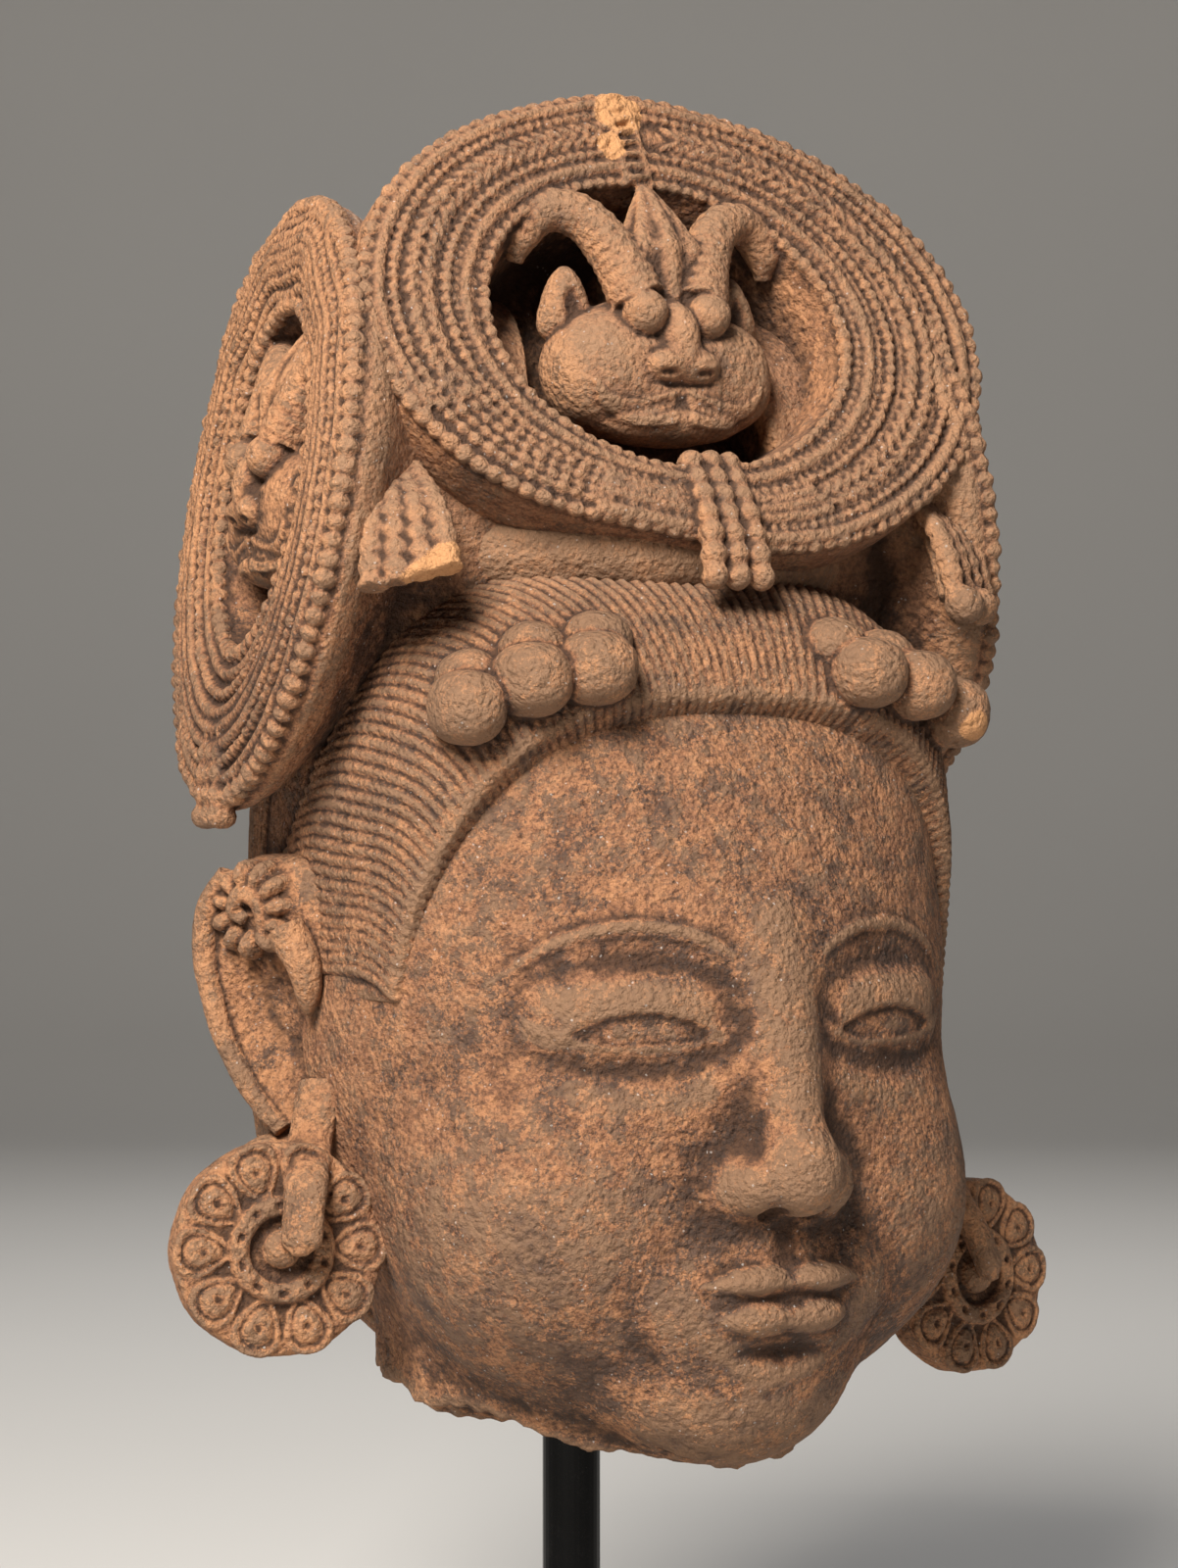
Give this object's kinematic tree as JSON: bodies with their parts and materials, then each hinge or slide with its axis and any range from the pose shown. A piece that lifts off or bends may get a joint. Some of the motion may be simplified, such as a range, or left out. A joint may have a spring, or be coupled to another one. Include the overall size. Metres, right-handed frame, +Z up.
{
  "type": "carved stone head on a post",
  "caption": "Carved sandstone head of a deity with a tall crown of matted hair, animal masks in oval rings and large ear discs, held up on a round black post and a square foot.",
  "frame": {"origin": "middle of the underside of the foot", "axes": "+Z up along the post, the face looks along -Y, +X to the proper left side of the head"},
  "size_m": [0.2688, 0.219, 0.5],
  "materials": {
    "sandstone": "weathered, grainy, dark patina and pale chips",
    "black_steel": "gloss black",
    "black_paint": "satin black"
  },
  "bodies": {
    "root": {"stone_head": "sandstone", "post": "black_steel", "foot": "black_paint"}
  },
  "joints": []
}
